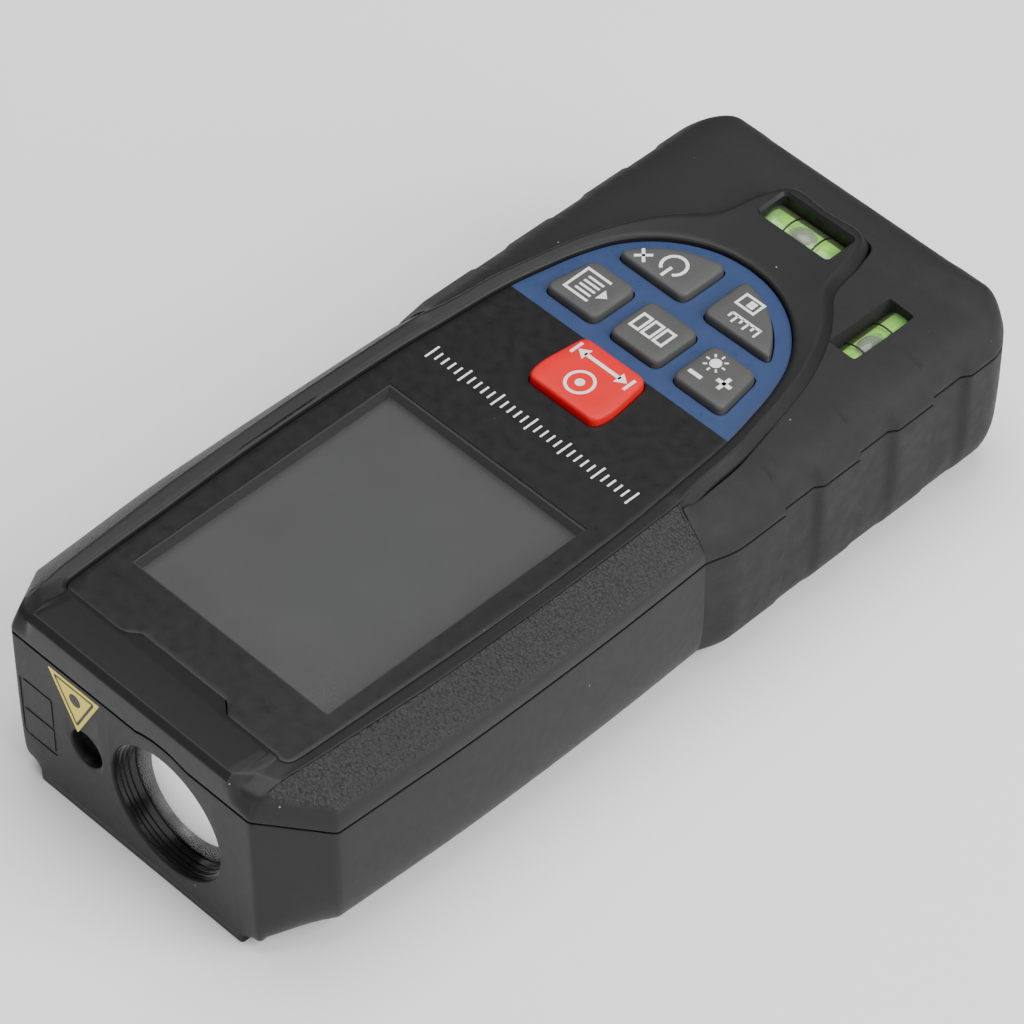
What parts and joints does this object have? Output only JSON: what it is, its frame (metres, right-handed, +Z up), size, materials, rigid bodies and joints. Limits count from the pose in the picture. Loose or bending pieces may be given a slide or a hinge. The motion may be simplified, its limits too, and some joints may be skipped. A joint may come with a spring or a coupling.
{
  "type": "laser distance meter",
  "caption": "Handheld laser distance meter with a long display window, rubber membrane keys, a round receiver lens, two bubble vials and a ribbed rubber grip.",
  "frame": {"origin": "middle of the footprint, on the surface that the instrument lies on", "axes": "+Y the way the beam leaves, +X the user's right when the keys read upright, +Z up out of the display"},
  "size_m": [0.0538, 0.118, 0.028],
  "materials": {
    "case_plastic": "fine spark-eroded texture, charcoal",
    "grip_rubber": "matte overmoulded rubber",
    "fascia_plastic": "satin black printed cover with a blue key field",
    "lcd_glass": "reflective liquid-crystal panel, blank",
    "backlight_plastic": "white light guide",
    "black_plastic": "matt black, low reflection",
    "key_grey": "satin mid grey",
    "key_red": "satin signal red",
    "silicone": "translucent silicone",
    "spring_steel": "bright sheet and wire",
    "board_green": "solder-masked glass epoxy",
    "chip_black": "moulded epoxy",
    "brass": "turned",
    "cast_alloy": "die cast, black coated",
    "optical_glass": "polished and coated",
    "label_yellow": "printed film",
    "clear_acrylic": "clear acrylic",
    "vial_liquid": "fluorescent green liquid",
    "cell_wrap": "printed film wrap"
  },
  "bodies": {
    "housing": {"lower_case": "case_plastic", "upper_case": "case_plastic", "grip_lower": "grip_rubber", "grip_upper": "grip_rubber", "display_fascia": "fascia_plastic", "lcd_glass": "lcd_glass", "lcd_backlight": "backlight_plastic", "lcd_frame": "black_plastic", "keypad_mat": "silicone", "dome_switches": "spring_steel", "main_board": "board_green", "board_chips": "chip_black", "buzzer": "chip_black", "optics_block": "cast_alloy", "lens_barrel": "black_plastic", "receiver_lens": "optical_glass", "lens_ring": "black_plastic", "laser_module": "brass", "laser_window": "optical_glass", "sensor_board": "board_green", "photodiode": "chip_black", "warning_label": "label_yellow", "vial_cross": "clear_acrylic", "vial_cross_liquid": "vial_liquid", "vial_long": "clear_acrylic", "vial_long_liquid": "vial_liquid", "battery_tray": "black_plastic", "battery_cells": "cell_wrap", "contact_plates": "spring_steel", "contact_springs": "spring_steel", "door_pin": "spring_steel", "case_screws": "spring_steel"},
    "key_measure": {"key_measure": "key_red"},
    "key_function": {"key_function": "key_grey"},
    "key_memory": {"key_memory": "key_grey"},
    "key_plus_minus": {"key_plus_minus": "key_grey"},
    "key_clear": {"key_clear": "key_grey"},
    "key_unit": {"key_unit": "key_grey"},
    "battery_door": {"battery_door": "case_plastic"}
  },
  "joints": [
    {"name": "key_measure_press", "type": "slide", "parent": "housing", "child": "key_measure", "axis": [0, 0, -1], "range_m": [0, 0.0008], "stiffness_N_per_m": 2500},
    {"name": "key_function_press", "type": "slide", "parent": "housing", "child": "key_function", "axis": [0, 0, -1], "range_m": [0, 0.0008], "stiffness_N_per_m": 2000},
    {"name": "key_memory_press", "type": "slide", "parent": "housing", "child": "key_memory", "axis": [0, 0, -1], "range_m": [0, 0.0008], "stiffness_N_per_m": 2000},
    {"name": "key_plus_minus_press", "type": "slide", "parent": "housing", "child": "key_plus_minus", "axis": [0, 0, -1], "range_m": [0, 0.0008], "stiffness_N_per_m": 2000},
    {"name": "key_clear_press", "type": "slide", "parent": "housing", "child": "key_clear", "axis": [0, 0, -1], "range_m": [0, 0.0008], "stiffness_N_per_m": 2000},
    {"name": "key_unit_press", "type": "slide", "parent": "housing", "child": "key_unit", "axis": [0, 0, -1], "range_m": [0, 0.0008], "stiffness_N_per_m": 2000},
    {"name": "battery_door_hinge", "type": "hinge", "parent": "housing", "child": "battery_door", "pos_m": [0, -0.0021, 0.0019], "axis": [1, 0, 0], "range_deg": [0, 75]}
  ]
}
